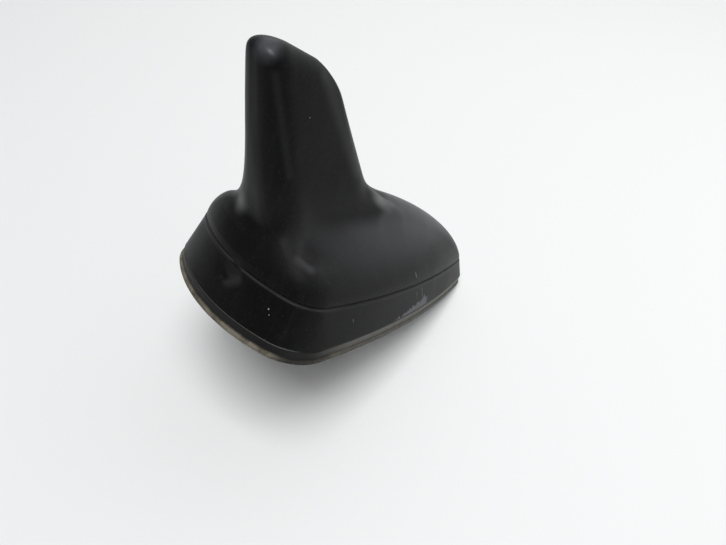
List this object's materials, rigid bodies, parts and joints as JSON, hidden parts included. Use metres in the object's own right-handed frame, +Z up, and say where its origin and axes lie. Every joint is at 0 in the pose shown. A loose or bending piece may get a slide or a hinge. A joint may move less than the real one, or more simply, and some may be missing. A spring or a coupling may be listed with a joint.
{
  "type": "roof antenna",
  "caption": "Black fin-shaped car roof antenna: soft moulded cover with a groove line, rubber roof gasket, cast base plate, hollow threaded stud, aerial boards inside",
  "frame": {"origin": "where the stud axis meets the roof, in the plane of the gasket's underside", "axes": "X points to the nose, Y to the left, Z up away from the roof"},
  "size_m": [0.1181, 0.0574, 0.0934],
  "materials": {
    "cover_skin": "satin black moulding with a soft surface, scuffed and dented",
    "seal_rubber": "aged black rubber with dry brown dirt on the lip",
    "cast_alloy": "raw casting",
    "stud_steel": "zinc plated, threaded",
    "bush_rubber": "black rubber",
    "board": "green solder mask",
    "pad_foam": "white bonding foam",
    "patch_ceramic": "fired ceramic with a silvered top",
    "contact_brass": "plated contact",
    "shield_sheet": "tinned sheet",
    "chip_black": "moulded package",
    "screw_steel": "zinc plated"
  },
  "bodies": {
    "root": {"cover": "cover_skin", "roof_seal": "seal_rubber", "base_plate": "cast_alloy", "mounting_stud": "stud_steel", "cable_bush": "bush_rubber", "main_board": "board", "fin_board": "board", "patch_pad": "pad_foam", "patch_aerial": "patch_ceramic", "feed_pin": "contact_brass", "shield_frame": "shield_sheet", "shield_lid": "shield_sheet", "amplifier_chip": "chip_black", "filter_chip": "chip_black", "phone_socket": "contact_brass", "position_socket": "contact_brass", "cover_screws": "screw_steel", "board_screws": "screw_steel"}
  },
  "joints": []
}
